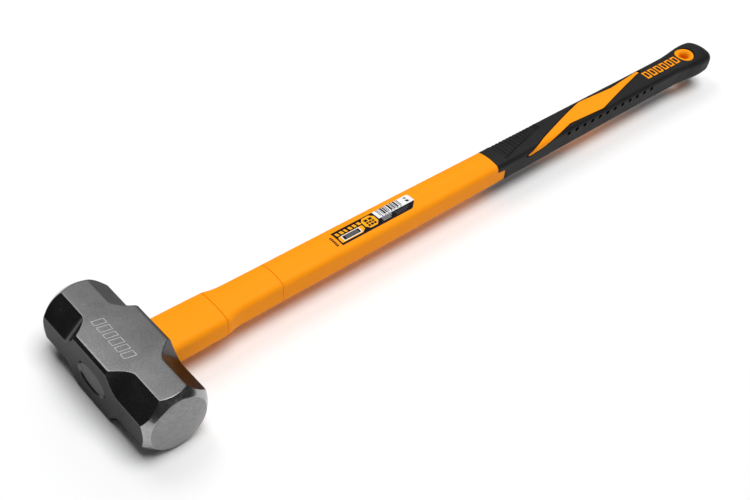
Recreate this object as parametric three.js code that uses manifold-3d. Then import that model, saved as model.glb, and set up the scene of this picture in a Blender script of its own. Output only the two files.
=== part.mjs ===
// Long-handled double-face sledgehammer, millimetres, +Z up.
// It lies on its side: striking axis along X, handle towards +Y.
// Everything is built about the centre of the head's eye, then one group moves it
// so that the origin is the bottom centre of the whole object's box.
import * as THREE from "three";
import { mergeVertices } from "three/addons/utils/BufferGeometryUtils.js";
import Module from "manifold-3d";

const wasm = await Module();
wasm.setup();

// ---- driving dimensions -------------------------------------------------
const GAP = 0.3; // clearance between pieces that touch
const TOTAL_LENGTH = 900.6; // eye-side face of the head to the end of the grip

const HEAD_HALF = 33.6; // half the distance across the head's flats
const HEAD_CORNER_X = 78.2; // where the turned chamfer cuts the octagon's corners
const FACE_RIM_X = 86.4; // start of the crowned striking face
const FACE_RIM_R = 29; // radius of the crowned striking face
const FACE_X = 89.6; // crown of the striking face
const FACE_FLAT_R = 11; // flat middle of the crown
const OCTAGON_FLAT = HEAD_HALF * Math.tan(Math.PI / 8); // half a flat of the octagon
const MID_HALF_LENGTH = 25.7; // half the length of the square middle
const RAMP_END_X = 44; // where the corner facets reach their full width
const RAMP_POWER = 1.8; // how steeply the facets climb to the square middle
const MID_CHAMFER = 3; // chamfer on the square middle's corners

const EYE_HALF_LONG = 20.5; // eye oval, along the striking axis
const EYE_HALF_SHORT = 13.2;
const PLUG_DEPTH = 7;
const PLUG_RECESS = 0.4;

// Half-width, half-thickness, corner radius and crown radius of the core.
const CORE = { w: 12.5, h: 8, r: 7, crown: 400 };
const CORE_END_Y = 800;

const GUARD_START_Y = HEAD_HALF + GAP;
const SEAM_1_Y = 98; // overstrike guard ends
const SEAM_2_Y = 167; // tapered sleeve ends
const GRIP_START_Y = 467.5;
const GRIP_TONGUE_Y = 479; // the jacket's tongues run this far into the grip's sides
const GRIP_WALL = 3;
const JACKET_END_Y = 806;
const END_Y = TOTAL_LENGTH - HEAD_HALF;

const LABEL = { y0: 248, y1: 353, half: 9.8, thickness: 0.4, corner: 3 };
const LABEL_POCKET = { y0: 228, y1: 364, half: 12.4, z: 14 };

const HANG_Y = 824; // hang hole
const BUSH_R = 12.2;
const BUSH_HALF_HEIGHT = 14.8;
const HANG_HOLE_R = 5.8;

const CROWN_STEPS = 3; // facets in a quarter of a section
const CORNER_STEPS = 4;

// Handle sections: y, half-width along X, half-thickness along Z, corner radius, and
// crown radius of the broad sides.
const NECK = [
  [GUARD_START_Y, 23.9, 14.9, 7.5, 110],
  [SEAM_1_Y, 23.2, 14.7, 7.5, 110],
];
const SLEEVE = [
  [SEAM_1_Y + GAP, 23.2, 14.7, 7.5, 110],
  [103, 22.3, 14.8, 7.4, 98],
  [110, 20.2, 15, 7.2, 75],
  [117, 19.3, 15.3, 6.8, 60],
  [SEAM_2_Y, 18.6, 15.5, 6.5, 55],
];
const SHAFT = [
  [SEAM_2_Y + GAP, 18.6, 15.5, 6.5, 55],
  [300, 18.3, 15.3, 6.5, 55],
  [GRIP_START_Y, 17.3, 14.9, 6.5, 55],
];
const GRIP = [
  [GRIP_START_Y, 17.3, 14.9, 6.5, 55],
  [600, 16.8, 14.7, 6.5, 55],
  [748, 16.5, 14.4, 6.5, 50],
  [792, 16.6, 14.4, 6.5, 50],
  [812, 18.2, 15, 7.5, 50],
  [828, 20.4, 15.8, 9, 50],
  [840, 21.2, 16.1, 9.5, 48],
  [852, 20.7, 15.6, 9.5, 46],
  [860, 18.2, 13.2, 8.8, 42],
  [865, 14, 8.9, 7.2, 36],
  [END_Y, 8, 4.2, 3.4, 30],
];

// Outline of the raised flame inlay on the grip, in plan: x and y of its corners.
const INLAY = [
  [17.6, 522],
  [11, 546.6],
  [-6.5, 611],
  [-12, 634.5],
  [-8, 689],
  [-12.4, 744],
  [-9.2, 742],
  [12.5, 651],
  [9.7, 594],
  [17.6, 544],
];

// Generic mark on the grip: a row of slanted bars.
const MARK = { y0: 746, pitch: 9.4, count: 7, half: 6.4, bar: 2, slant: 3 };

// ---- materials ----------------------------------------------------------
function material(color, roughness, metalness) {
  return new THREE.MeshStandardMaterial({ color, roughness, metalness });
}

const forgedSteel = material(0x55585b, 0.45, 0.8);
const orangePlastic = material(0xff9800, 0.4, 0);
const blackRubber = material(0x1b1b1c, 0.65, 0);
const fibreglass = material(0xd8c27a, 0.5, 0);
const epoxy = material(0x8a7f5c, 0.35, 0);
const greyResin = material(0x46484a, 0.5, 0);
const labelFilm = material(0x15161a, 0.35, 0);

// ---- solids -------------------------------------------------------------
function toSolid(geometry) {
  const bare = geometry.clone();
  bare.deleteAttribute("normal");
  bare.deleteAttribute("uv");
  const merged = mergeVertices(bare, 1e-4);
  const vertProperties = new Float32Array(merged.attributes.position.array);
  const triVerts = new Uint32Array(merged.index.array);
  return new wasm.Manifold(new wasm.Mesh({ numProp: 3, vertProperties, triVerts }));
}

function toGeometry(solid) {
  const mesh = solid.getMesh();
  const geometry = new THREE.BufferGeometry();
  const position = new Float32Array(mesh.vertProperties);
  geometry.setAttribute("position", new THREE.BufferAttribute(position, 3));
  geometry.setIndex(new THREE.BufferAttribute(new Uint32Array(mesh.triVerts), 1));
  geometry.computeVertexNormals();
  return geometry;
}

// A closed solid through rings of points that all have the same count. Each ring
// turns the same way seen from the start of the loft, so every face points out.
function loft(rings) {
  const count = rings[0].length;
  const last = rings.length - 1;
  const position = rings.flat().flatMap((point) => point.toArray());
  const index = [];
  for (let k = 0; k < last; k++) {
    for (let i = 0; i < count; i++) {
      const a = k * count + i;
      const b = k * count + ((i + 1) % count);
      index.push(a, b, b + count, a, b + count, a + count);
    }
  }
  for (let i = 1; i < count - 1; i++) {
    index.push(0, i + 1, i);
    index.push(last * count, last * count + i, last * count + i + 1);
  }
  const geometry = new THREE.BufferGeometry();
  geometry.setAttribute("position", new THREE.Float32BufferAttribute(position, 3));
  geometry.setIndex(index);
  return toSolid(geometry);
}

// A quarter of a handle section, from the top's middle to the narrow side: a crown
// arc that runs into the corner's arc.
function quarterSection(halfWidth, halfThick, radius, crown) {
  const across = halfWidth - radius;
  const start = Math.asin(across / (crown - radius));
  const up = halfThick - crown + (crown - radius) * Math.cos(start);
  const points = [];
  for (let i = 0; i < CROWN_STEPS; i++) {
    const angle = (start * i) / CROWN_STEPS;
    points.push([crown * Math.sin(angle), halfThick - crown + crown * Math.cos(angle)]);
  }
  for (let i = 0; i <= CORNER_STEPS; i++) {
    const angle = start + ((Math.PI / 2 - start) * i) / CORNER_STEPS;
    points.push([across + radius * Math.sin(angle), up + radius * Math.cos(angle)]);
  }
  return points;
}

// Points of a section across the handle at y, all the way round.
function sectionRing(y, halfWidth, halfThick, radius, crown) {
  const quarter = quarterSection(halfWidth, halfThick, radius, crown);
  const back = [...quarter].reverse();
  const ring = [
    ...quarter,
    ...back.map(([x, z]) => [x, -z]),
    ...quarter.slice(1).map(([x, z]) => [-x, -z]),
    ...back.slice(0, -1).map(([x, z]) => [-x, z]),
  ];
  return ring.map(([x, z]) => new THREE.Vector3(x, y, z));
}

// The handle's outer body through a list of sections, drawn in by inset.
function handleBody(sections, inset = 0) {
  return loft(
    sections.map(([y, w, h, r, crown]) =>
      sectionRing(y, w - inset, h - inset, Math.max(r - inset, 0.8), crown - inset),
    ),
  );
}

function coreBody(y0, y1, grow = 0) {
  const ring = (y) => sectionRing(y, CORE.w + grow, CORE.h + grow, CORE.r + grow, CORE.crown);
  return loft([ring(y0), ring(y1)]);
}

// An upright prism from a plan outline, between two heights.
function prism(points, z0, z1) {
  const shape = new THREE.Shape(points.map(([x, y]) => new THREE.Vector2(x, y)));
  const geometry = new THREE.ExtrudeGeometry(shape, { depth: z1 - z0, bevelEnabled: false });
  geometry.translate(0, 0, z0);
  return toSolid(geometry);
}

// A round-cornered upright plate, centred on x = 0.
function plate(half, y0, y1, corner, z0, z1) {
  const shape = new THREE.Shape();
  shape.moveTo(-half + corner, y0);
  shape.absarc(half - corner, y0 + corner, corner, -Math.PI / 2, 0);
  shape.absarc(half - corner, y1 - corner, corner, 0, Math.PI / 2);
  shape.absarc(-half + corner, y1 - corner, corner, Math.PI / 2, Math.PI);
  shape.absarc(-half + corner, y0 + corner, corner, Math.PI, Math.PI * 1.5);
  const settings = { depth: z1 - z0, bevelEnabled: false, curveSegments: 6 };
  const geometry = new THREE.ExtrudeGeometry(shape, settings);
  geometry.translate(0, 0, z0);
  return toSolid(geometry);
}

function box(x, y, z, cx, cy, cz) {
  const geometry = new THREE.BoxGeometry(x, y, z);
  geometry.translate(cx, cy, cz);
  return toSolid(geometry);
}

// An oval bar along Y, between two stations.
function ovalBar(halfLong, halfShort, y0, y1) {
  const geometry = new THREE.CylinderGeometry(1, 1, y1 - y0, 40);
  geometry.scale(halfLong, 1, halfShort);
  geometry.translate(0, (y0 + y1) / 2, 0);
  return toSolid(geometry);
}

// ---- head ---------------------------------------------------------------
// Half-length of each flat at a place along the head: a full square with small
// chamfers in the middle, a regular octagon towards both ends.
function flatHalf(x) {
  const reach = (Math.abs(x) - MID_HALF_LENGTH) / (RAMP_END_X - MID_HALF_LENGTH);
  const t = THREE.MathUtils.clamp(reach, 0, 1);
  const middle = HEAD_HALF - MID_CHAMFER;
  return OCTAGON_FLAT + (middle - OCTAGON_FLAT) * Math.pow(1 - t, RAMP_POWER);
}

function headRing(x) {
  const flat = flatHalf(x);
  const corners = [
    [flat, HEAD_HALF],
    [-flat, HEAD_HALF],
    [-HEAD_HALF, flat],
    [-HEAD_HALF, -flat],
    [-flat, -HEAD_HALF],
    [flat, -HEAD_HALF],
    [HEAD_HALF, -flat],
    [HEAD_HALF, flat],
  ];
  return corners.map(([y, z]) => new THREE.Vector3(x, y, z));
}

function headStations() {
  const steps = 7;
  const right = [];
  for (let i = 0; i <= steps; i++) {
    right.push(MID_HALF_LENGTH + ((RAMP_END_X - MID_HALF_LENGTH) * i) / steps);
  }
  right.push(FACE_X + 2);
  const left = right.map((x) => -x).reverse();
  return [...left, ...right];
}

// The turned ends: a solid of revolution about X that the bar is cut to.
function turnedEnvelope() {
  const cornerR = HEAD_HALF / Math.cos(Math.PI / 8);
  const slope = (cornerR - FACE_RIM_R) / (FACE_RIM_X - HEAD_CORNER_X);
  const wide = 52;
  const wideX = HEAD_CORNER_X - (wide - cornerR) / slope;
  const half = [
    [wide, wideX],
    [FACE_RIM_R, FACE_RIM_X],
    [FACE_RIM_R - 4, FACE_RIM_X + 1.5],
    [FACE_RIM_R - 11, FACE_RIM_X + 2.7],
    [FACE_FLAT_R, FACE_X],
    [0, FACE_X],
  ];
  const lower = half.map(([r, x]) => new THREE.Vector2(r, -x)).reverse();
  const upper = half.map(([r, x]) => new THREE.Vector2(r, x));
  const geometry = new THREE.LatheGeometry([...lower, ...upper], 64);
  geometry.rotateZ(-Math.PI / 2);
  return toSolid(geometry);
}

function hammerHead() {
  const bar = loft(headStations().map(headRing));
  const eye = ovalBar(EYE_HALF_LONG, EYE_HALF_SHORT, -HEAD_HALF - 1, HEAD_HALF + 1);
  return bar.intersect(turnedEnvelope()).subtract(eye);
}

// ---- what fills the eye -------------------------------------------------
const PLUG_FACE_Y = -HEAD_HALF + PLUG_RECESS;
const CORE_START_Y = PLUG_FACE_Y + PLUG_DEPTH + GAP;

function eyePlug() {
  const long = EYE_HALF_LONG - GAP;
  const short = EYE_HALF_SHORT - GAP;
  return ovalBar(long, short, PLUG_FACE_Y, PLUG_FACE_Y + PLUG_DEPTH);
}

function eyeResin() {
  const fill = ovalBar(EYE_HALF_LONG - GAP, EYE_HALF_SHORT - GAP, CORE_START_Y, HEAD_HALF);
  return fill.subtract(coreBody(CORE_START_Y - 1, HEAD_HALF + 1, GAP));
}

// ---- handle -------------------------------------------------------------
function overmould(sections) {
  const y0 = sections[0][0];
  const y1 = sections[sections.length - 1][0];
  return handleBody(sections).subtract(coreBody(y0 - 1, y1 + 1, GAP));
}

// Plan outline drawn in or out sideways by a margin, about its own middle line.
function grown(points, margin) {
  const shape = new THREE.Shape(points.map(([x, y]) => new THREE.Vector2(x, y)));
  const clockwise = THREE.ShapeUtils.isClockWise(shape.getPoints()) ? 1 : -1;
  return points.map(([x, y], i) => {
    const [px, py] = points[(i + points.length - 1) % points.length];
    const [nx, ny] = points[(i + 1) % points.length];
    const before = new THREE.Vector2(y - py, px - x).normalize();
    const after = new THREE.Vector2(ny - y, x - nx).normalize();
    const out = before.add(after).normalize();
    return [x - out.x * margin * clockwise, y - out.y * margin * clockwise];
  });
}

function markBars(margin) {
  const { y0, pitch, count, half, bar, slant } = MARK;
  const bars = [];
  for (let i = 0; i < count; i++) {
    const y = y0 + pitch * i;
    const a = bar + margin;
    const h = half + margin;
    bars.push([
      [-h, y - a - slant],
      [h, y - a + slant],
      [h, y + a + slant],
      [-h, y + a - slant],
    ]);
  }
  return bars;
}

// Everything of the jacket that shows through the grip, as upright prisms. The
// inlay is on both broad sides, turned over, and the mark is only on top.
function windows(margin) {
  const top = 20;
  const inlay = grown(INLAY, margin);
  const turned = inlay.map(([x, y]) => [-x, y]).reverse();
  const inside = 4 - margin;
  let solid = prism(inlay, inside, top).add(prism(turned, -top, -inside));
  for (const bar of markBars(margin)) {
    solid = solid.add(prism(bar, inside, top));
  }
  return solid;
}

// The jacket's tongues on the two narrow sides, where the grip's front steps back.
function tongues(margin) {
  const length = GRIP_TONGUE_Y - GRIP_START_Y + 4;
  const y = GRIP_TONGUE_Y - length / 2 + margin;
  return box(60, length, 12 + 2 * margin, 0, y, -1.5);
}

function gripOuter() {
  return handleBody(GRIP);
}

// The jacket's own body under the grip.
function gripInner(margin) {
  const body = handleBody(GRIP, GRIP_WALL - margin);
  const y0 = GRIP_START_Y - 1;
  const length = JACKET_END_Y + margin - y0;
  return body.intersect(box(80, length, 80, 0, y0 + length / 2, 0));
}

function handleJacket() {
  const lands = windows(0).add(tongues(0)).intersect(gripOuter());
  const pocket = LABEL_POCKET;
  const recess = plate(pocket.half, pocket.y0, pocket.y1, pocket.half - 0.1, pocket.z, 20);
  return handleBody(SHAFT)
    .add(gripInner(0))
    .add(lands)
    .subtract(recess)
    .subtract(coreBody(SEAM_2_Y, CORE_END_Y + GAP, GAP))
    .subtract(hangBore(GAP));
}

function hangBore(margin) {
  const geometry = new THREE.CylinderGeometry(BUSH_R + margin, BUSH_R + margin, 60, 40);
  geometry.rotateX(Math.PI / 2);
  geometry.translate(0, HANG_Y, 0);
  return toSolid(geometry);
}

function grip() {
  const front = box(80, 40, 80, 0, GRIP_START_Y + GAP - 20, 0);
  return gripOuter()
    .subtract(front)
    .subtract(gripInner(GAP))
    .subtract(windows(GAP))
    .subtract(tongues(GAP))
    .subtract(hangBore(GAP));
}

// Dished hang-hole bush, turned about the hole's axis.
function hangHoleBush() {
  const outline = [
    [HANG_HOLE_R, -5],
    [HANG_HOLE_R + 1.4, -10],
    [BUSH_R - 2, -BUSH_HALF_HEIGHT],
    [BUSH_R, -BUSH_HALF_HEIGHT],
    [BUSH_R, BUSH_HALF_HEIGHT],
    [BUSH_R - 2, BUSH_HALF_HEIGHT],
    [HANG_HOLE_R + 1.4, 10],
    [HANG_HOLE_R, 5],
    [HANG_HOLE_R, -5],
  ];
  const points = outline.map(([r, z]) => new THREE.Vector2(r, z));
  const geometry = new THREE.LatheGeometry(points, 40);
  geometry.rotateX(Math.PI / 2);
  geometry.translate(0, HANG_Y, 0);
  return toSolid(geometry);
}

function productLabel() {
  const z0 = LABEL_POCKET.z + GAP;
  return plate(LABEL.half, LABEL.y0, LABEL.y1, LABEL.corner, z0, z0 + LABEL.thickness);
}

// ---- assembly -----------------------------------------------------------
const hammer = new THREE.Group();
hammer.position.set(0, -(END_Y - HEAD_HALF) / 2, HEAD_HALF);

function addPart(name, solid, finish) {
  const mesh = new THREE.Mesh(toGeometry(solid), finish);
  mesh.name = name;
  hammer.add(mesh);
}

addPart("hammer_head", hammerHead(), forgedSteel);
addPart("eye_plug", eyePlug(), greyResin);
addPart("eye_resin", eyeResin(), epoxy);
addPart("fibreglass_core", coreBody(CORE_START_Y, CORE_END_Y), fibreglass);
addPart("overstrike_guard", overmould(NECK), orangePlastic);
addPart("neck_sleeve", overmould(SLEEVE), orangePlastic);
addPart("handle_jacket", handleJacket(), orangePlastic);
addPart("grip", grip(), blackRubber);
addPart("hang_hole_bush", hangHoleBush(), orangePlastic);
addPart("product_label", productLabel(), labelFilm);

const root = new THREE.Group();
root.add(hammer);

export default root;
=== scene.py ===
"""Long-handled sledgehammer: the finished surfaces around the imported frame.

Shapes are built in millimetres about the middle of the head's eye, with the striking
axis along X, the handle towards +Y and +Z up, and then moved to the frame in metres.
"""

import math

import bmesh
import bpy
import numpy as np
from mathutils import Matrix, Vector


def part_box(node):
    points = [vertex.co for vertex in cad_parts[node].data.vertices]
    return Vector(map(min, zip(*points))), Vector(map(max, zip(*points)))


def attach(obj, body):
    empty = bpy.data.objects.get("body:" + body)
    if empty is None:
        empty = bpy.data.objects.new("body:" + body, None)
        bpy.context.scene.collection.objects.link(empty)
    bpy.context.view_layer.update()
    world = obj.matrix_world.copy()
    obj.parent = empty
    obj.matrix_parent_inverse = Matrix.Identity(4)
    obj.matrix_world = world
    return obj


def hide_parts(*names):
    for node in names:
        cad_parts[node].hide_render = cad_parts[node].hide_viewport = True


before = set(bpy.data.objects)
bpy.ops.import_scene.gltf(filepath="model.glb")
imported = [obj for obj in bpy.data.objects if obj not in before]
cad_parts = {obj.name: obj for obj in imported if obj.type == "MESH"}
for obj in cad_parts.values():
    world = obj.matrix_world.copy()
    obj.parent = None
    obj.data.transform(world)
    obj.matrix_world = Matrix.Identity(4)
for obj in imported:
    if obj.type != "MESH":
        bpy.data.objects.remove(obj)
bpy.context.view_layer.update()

# ---- sizes from the frame -----------------------------------------------
MM = 0.001
head_low, head_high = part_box("hammer_head")
EYE = (head_low + head_high) / 2


def span_y(node):
    """Where a node starts and ends along the handle, in mm from the eye."""
    low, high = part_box(node)
    return (low.y - EYE.y) / MM, (high.y - EYE.y) / MM


HEAD_HALF = (head_high.z - head_low.z) / 2 / MM
FACE_X = (head_high.x - head_low.x) / 2 / MM
GUARD_Y0, GUARD_Y1 = span_y("overstrike_guard")
SLEEVE_Y0, SLEEVE_Y1 = span_y("neck_sleeve")
JACKET_Y0, JACKET_Y1 = span_y("handle_jacket")
GRIP_Y0, END_Y = span_y("grip")
CORE_Y1 = span_y("fibreglass_core")[1]
LABEL_Y0, LABEL_Y1 = span_y("product_label")
BUSH_Y0, BUSH_Y1 = span_y("hang_hole_bush")
HANG_Y = (BUSH_Y0 + BUSH_Y1) / 2
BUSH_R = (BUSH_Y1 - BUSH_Y0) / 2
PLUG_Y0, PLUG_Y1 = span_y("eye_plug")

# ---- the head's own dimensions ------------------------------------------
HEAD_CORNER_X = 78.2
FACE_RIM_X = 86.4
FACE_RIM_R = 29.0
OCTAGON_FLAT = HEAD_HALF * math.tan(math.pi / 8)
MID_HALF_LENGTH = 25.7
RAMP_END_X = 44.0
RAMP_POWER = 1.8
MID_CHAMFER = 3.0
EYE_LONG = 20.5
EYE_SHORT = 13.2
EYE_BEVEL = 1.7
SHOULDER_X = 62.0  # the octagon is straight from the ramp to here
CROWN_POWER = 2.8  # the higher, the flatter the middle of a striking face
BAR_SOFTNESS, FACE_SOFTNESS, RIM_SOFTNESS = 0.16, 0.2, 0.12
SEARCH_LOW, SEARCH_HIGH, HALVINGS = 0.6, 1.1, 26
PLUG_CLEARANCE, PLUG_EDGE, PLUG_CROWN = 0.25, 0.8, 0.55
HEAD_MARK_PITCH, HEAD_MARK_X, HEAD_MARK_Y = 9.5, -3.4, -6.2

# ---- the handle's own dimensions ----------------------------------------
# y, half-width along X, half-thickness along Z, corner radius, crown radius of the
# broad sides
SECTIONS = [
    (GUARD_Y0, 23.9, 14.9, 7.5, 110),
    (97, 23.2, 14.7, 7.5, 110),
    (100, 22.9, 14.7, 7.5, 105),
    (109, 20.4, 15, 7.2, 75),
    (117, 19.3, 15.3, 6.8, 60),
    (SLEEVE_Y1, 18.6, 15.5, 6.5, 55),
    (300, 18.3, 15.3, 6.5, 55),
    (GRIP_Y0, 17.3, 14.9, 6.5, 55),
    (600, 16.8, 14.7, 6.5, 55),
    (748, 16.5, 14.4, 6.5, 50),
    (792, 16.6, 14.4, 6.5, 50),
    (812, 18.2, 15, 7.5, 50),
    (828, 20.4, 15.8, 9, 50),
    (840, 21.2, 16.1, 9.5, 48),
    (852, 20.7, 15.6, 9.5, 46),
    (860, 18.2, 13.2, 8.8, 42),
    (865, 14, 8.9, 7.2, 36),
    (END_Y, 7, 3.6, 2.9, 26),
]
CORE = (12.8, 8.3, 7.3, 400)
GRIP_WALL = 3.0
SEAM_BEVEL = 0.45
SEAM_CLEARANCE = 0.5

TONGUE_LENGTH = 12.2
TONGUE_LOW, TONGUE_HIGH = -9.6, 4.3
TONGUE_SOFTNESS = 1.9
FRONT_GAP = 0.3
WARP_LENGTH = 34
GRIP_PROUD = 0.12  # how far the grip stands off the handle's sections
GRIP_LIP = 0.5  # radius of its front edge
STEP_END_Y = GRIP_Y0 + 14  # the jacket has stepped down under the grip by here
BORE_LIFT = 0.2 - GRIP_WALL

LABEL_HALF = 9.8
POCKET_Y0, POCKET_Y1 = 228.0, 364.0
POCKET_HALF = 12.4
POCKET_DEPTH = 0.3
POCKET_FLATTEN = 0.35
LABEL_SHIFT = 1.0

PANEL_Y0, PANEL_Y1 = 484.0, 557.0
PANEL_EDGE_U, PANEL_SLANT = 10.8, 15.4 / 68
RIB_PITCH = 5.6
RIB_DEPTH = 0.95
DIMPLE_COUNT = 12
DIMPLE_Y0 = 586.8
DIMPLE_PITCH = 14.0
DIMPLE_U = 21.2
DIMPLE_DEPTH = 2.2
DIMPLE_LONG, DIMPLE_SHORT = 2.9, 2.5
MARK_Y0, MARK_PITCH, MARK_COUNT = 743.5, 11.2, 6
MARK_U, MARK_WIDTH, MARK_STROKE = (-5.6, 7.0), 8.4, 2.2

# Outline chains of the raised inlay, as arc distance from the top's middle line and y.
INLAY_LEFT = [
    (22.0, 517.5), (11.2, 546.6), (-5.9, 610), (-12, 634.5), (-7.7, 688.7), (-13, 744)
]
INLAY_RIGHT = [
    (22.0, 517.5), (23.2, 520.5), (21.6, 539), (10, 594), (12.8, 651), (-9.3, 742.3)
]


# ---- camera and light ---------------------------------------------------
def build_camera():
    """The view from in front of the eye side, above and to the right of the head."""
    azimuth, elevation, roll = math.radians(43.4), math.radians(43.5), math.radians(7.3)
    distance = 1.1747
    target = EYE + Vector((24.7, 280.3, 0)) * MM
    back = Vector(
        (
            math.sin(azimuth) * math.cos(elevation),
            -math.cos(azimuth) * math.cos(elevation),
            math.sin(elevation),
        )
    )
    data = bpy.data.cameras.new("camera")
    data.sensor_width = 36.0
    data.lens = 55.64
    data.clip_start = 0.05
    camera = bpy.data.objects.new("camera", data)
    bpy.context.collection.objects.link(camera)
    turn = (-back).to_track_quat("-Z", "Y").to_matrix().to_4x4()
    camera.matrix_world = (
        Matrix.Translation(target + back * distance) @ turn @ Matrix.Rotation(roll, 4, "Z")
    )
    bpy.context.scene.camera = camera


def softbox(name, place, aim, size, power):
    data = bpy.data.lights.new(name, "AREA")
    data.shape = "RECTANGLE"
    data.size, data.size_y = size
    data.energy = power
    lamp = bpy.data.objects.new(name, data)
    bpy.context.collection.objects.link(lamp)
    lamp.location = place
    lamp.rotation_euler = (Vector(aim) - Vector(place)).to_track_quat("-Z", "Y").to_euler()


def build_light():
    world = bpy.data.worlds.new("studio")
    world.use_nodes = True
    background = world.node_tree.nodes["Background"]
    background.inputs["Color"].default_value = (0.95, 0.97, 1.0, 1)
    background.inputs["Strength"].default_value = 0.05
    bpy.context.scene.world = world
    softbox("behind_above", (-1.15, 1.25, 1.75), (0, 0, 0), (2.4, 2.4), 13)
    softbox("above_left", (-1.0, -0.22, 1.75), (0, 0.1, 0), (0.9, 0.9), 9)
    softbox("low_right", (2.1, 0.3, 0.5), (0, 0, 0.05), (1.6, 0.8), 3.5)
    sun = bpy.data.lights.new("sky", "SUN")
    sun.angle = math.radians(40)
    sun.energy = 2.55
    lamp = bpy.data.objects.new("sky", sun)
    bpy.context.collection.objects.link(lamp)
    lamp.rotation_euler = Vector((0.16, 0.16, 0.95)).to_track_quat("Z", "Y").to_euler()
    settings = bpy.context.scene.view_settings
    settings.view_transform = "Standard"
    settings.look = "None"
    settings.exposure = 0.0
    settings.gamma = 1.0


def build_floor():
    half = 9.0
    corners = [(-half, -half, 0), (half, -half, 0), (half, half, 0), (-half, half, 0)]
    mesh = bpy.data.meshes.new("floor")
    mesh.from_pydata(corners, [], [(0, 1, 2, 3)])
    floor = bpy.data.objects.new("floor", mesh)
    bpy.context.collection.objects.link(floor)
    mesh.materials.append(Surface("pale_floor", (0.92, 0.92, 0.92), 0.9).material)


# ---- materials ----------------------------------------------------------
class Surface:
    """A material with one Principled shader and short names for wiring it."""

    def __init__(self, name, color, roughness, metallic=0.0):
        self.material = bpy.data.materials.new(name)
        self.material.use_nodes = True
        self.tree = self.material.node_tree
        self.shader = self.tree.nodes["Principled BSDF"]
        self.set("Base Color", (*color, 1))
        self.set("Roughness", roughness)
        self.set("Metallic", metallic)

    def set(self, socket, value):
        self.shader.inputs[socket].default_value = value

    def node(self, kind, **values):
        made = self.tree.nodes.new(kind)
        for key, value in values.items():
            if hasattr(made, key):
                setattr(made, key, value)
            else:
                made.inputs[key.replace("_", " ")].default_value = value
        return made

    def link(self, source, target):
        self.tree.links.new(source, target)

    def place(self, scale=(1, 1, 1)):
        """Object coordinates, stretched and then turned off the axes, so that no flat face
        cuts the noise along its lattice."""
        coords = self.node("ShaderNodeTexCoord")
        mapping = self.node("ShaderNodeMapping")
        mapping.inputs["Scale"].default_value = scale
        mapping.inputs["Rotation"].default_value = (0.61, 0.37, 0.83)
        mapping.inputs["Location"].default_value = (3.1, 1.7, 2.3)
        self.link(coords.outputs["Object"], mapping.inputs["Vector"])
        return mapping.outputs["Vector"]

    def noise(self, scale, detail=4.0, rough=0.55, stretch=(1, 1, 1)):
        made = self.node("ShaderNodeTexNoise", Scale=scale, Detail=detail, Roughness=rough)
        self.link(self.place(stretch), made.inputs["Vector"])
        return made.outputs["Fac"]

    def span(self, value, low, high, to_low, to_high):
        """Maps a value's range onto another, held at both ends."""
        made = self.node("ShaderNodeMapRange", clamp=True)
        numbers = (low, high, to_low, to_high)
        for socket, number in zip(("From Min", "From Max", "To Min", "To Max"), numbers):
            made.inputs[socket].default_value = number
        self.link(value, made.inputs["Value"])
        return made.outputs["Result"]

    def mix(self, factor, first, second):
        made = self.node("ShaderNodeMix", data_type="RGBA")
        self.link(factor, made.inputs["Factor"])
        for socket, value in (("A", first), ("B", second)):
            target = next(s for s in made.inputs if s.name == socket and s.type == "RGBA")
            if isinstance(value, tuple):
                target.default_value = (*value, 1)
            else:
                self.link(value, target)
        return next(s for s in made.outputs if s.type == "RGBA")

    def math(self, operation, first, second):
        made = self.node("ShaderNodeMath", operation=operation)
        for socket, value in zip(made.inputs, (first, second)):
            if isinstance(value, (int, float)):
                socket.default_value = value
            else:
                self.link(value, socket)
        return made.outputs["Value"]

    def colour(self, output):
        self.link(output, self.shader.inputs["Base Color"])

    def tint(self, value, first, second, low=0.3, high=0.7):
        """Goes from the first colour to the second as the value rises from low to high."""
        self.colour(self.mix(self.span(value, low, high, 0, 1), first, second))

    def roughen(self, value, low, high):
        self.link(self.span(value, 0.3, 0.7, low, high), self.shader.inputs["Roughness"])

    def bump(self, height, depth, strength=1.0):
        made = self.node("ShaderNodeBump", Strength=strength, Distance=depth)
        self.link(height, made.inputs["Height"])
        self.link(made.outputs["Normal"], self.shader.inputs["Normal"])


def forged_steel():
    """Dark, fine-grained forged steel, faintly mottled."""
    s = Surface("forged_steel", (0.13, 0.13, 0.131), 0.3, 1.0)
    broad = s.noise(26, 5, 0.6)
    grain = s.noise(700, 3, 0.7)
    mottled = s.mix(s.span(broad, 0.3, 0.7, 0, 1), (0.09, 0.09, 0.091), (0.125, 0.125, 0.126))
    s.colour(s.mix(s.span(grain, 0.3, 0.7, 0, 0.4), mottled, (0.22, 0.22, 0.221)))
    s.roughen(broad, 0.22, 0.29)
    s.set("Specular Tint", (0.4, 0.4, 0.4, 1))
    s.bump(s.math("ADD", grain, s.math("MULTIPLY", s.noise(260, 3), 0.6)), 0.00005, 0.4)
    return s.material


def ground_steel():
    """Ground steel of the striking face, with fine short scratches."""
    s = Surface("ground_steel", (0.3, 0.3, 0.3), 0.36, 1.0)
    scratches = s.noise(600, 5, 0.75, (1, 0.3, 1.2))
    cloud = s.noise(70, 3, 0.5)
    tone = s.mix(s.span(scratches, 0.3, 0.7, 0, 1), (0.17, 0.17, 0.171), (0.34, 0.34, 0.341))
    s.colour(s.mix(s.span(cloud, 0.35, 0.7, 0, 0.3), tone, (0.19, 0.19, 0.191)))
    s.roughen(scratches, 0.3, 0.42)
    s.bump(scratches, 0.000015, 0.4)
    return s.material


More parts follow.
